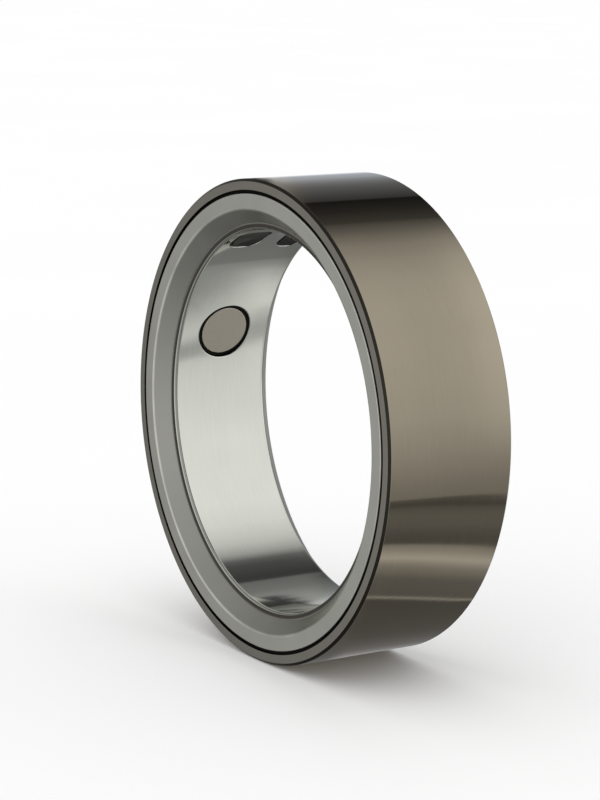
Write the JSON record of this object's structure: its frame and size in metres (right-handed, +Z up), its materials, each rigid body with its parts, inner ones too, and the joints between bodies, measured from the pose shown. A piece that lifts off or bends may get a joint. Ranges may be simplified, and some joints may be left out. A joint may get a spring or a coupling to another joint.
{
  "type": "smart ring",
  "caption": "Smart ring: a polished outer band and matt flared bezels round a polished liner with a round charging contact and dark sensor windows.",
  "frame": {"origin": "centre of the ring, on the axis of its bore and midway between its faces", "axes": "+Y along the axis from the front face to the rear face, +Z up, the ring stands on its rim"},
  "size_m": [0.024, 0.0068, 0.024],
  "materials": {
    "band_metal": "polished, warm grey coated",
    "bezel_metal": "bead blasted, matt grey",
    "liner_metal": "polished",
    "black_seal": "matt black",
    "contact_metal": "fine turned, matt",
    "collar_plastic": "matt black",
    "dark_glass": "polished dark tint",
    "carrier_plastic": "moulded",
    "polyimide": "amber film",
    "board": "green solder mask",
    "ceramic_white": "matt",
    "led_die": "clear",
    "silicon": "dark glossy",
    "chip_plastic": "moulded black",
    "tin_can": "satin",
    "ferrite": "matt dark grey",
    "capacitor_body": "matt tan",
    "thermistor_body": "matt dark",
    "thermal_pad": "soft blue grey",
    "spring_metal": "gold plated",
    "pouch_foil": "dull foil laminate",
    "foam": "fine closed foam",
    "tab_metal": "bright nickel"
  },
  "bodies": {
    "root": {"outer_band": "band_metal", "front_bezel": "bezel_metal", "rear_bezel": "bezel_metal", "liner": "liner_metal", "front_gasket": "black_seal", "rear_gasket": "black_seal", "contact_disc": "contact_metal", "contact_collar": "collar_plastic", "led_window": "dark_glass", "detector_window": "dark_glass", "led_window_seal": "black_seal", "detector_window_seal": "black_seal", "board_carrier": "carrier_plastic", "flex_strip": "polyimide", "island_boards": "board", "led_package": "ceramic_white", "led_dies": "led_die", "photodiode": "silicon", "radio_chip": "chip_plastic", "optical_chip": "chip_plastic", "power_chip": "chip_plastic", "memory_chip": "chip_plastic", "motion_sensor": "chip_plastic", "guard_chip": "chip_plastic", "radio_crystal": "tin_can", "clock_crystal": "tin_can", "power_inductor": "ferrite", "capacitors": "capacitor_body", "thermistor": "thermistor_body", "thermal_pad": "thermal_pad", "antenna_spring": "spring_metal", "battery_cell": "pouch_foil", "battery_pad": "foam", "battery_tabs": "tab_metal"}
  },
  "joints": []
}
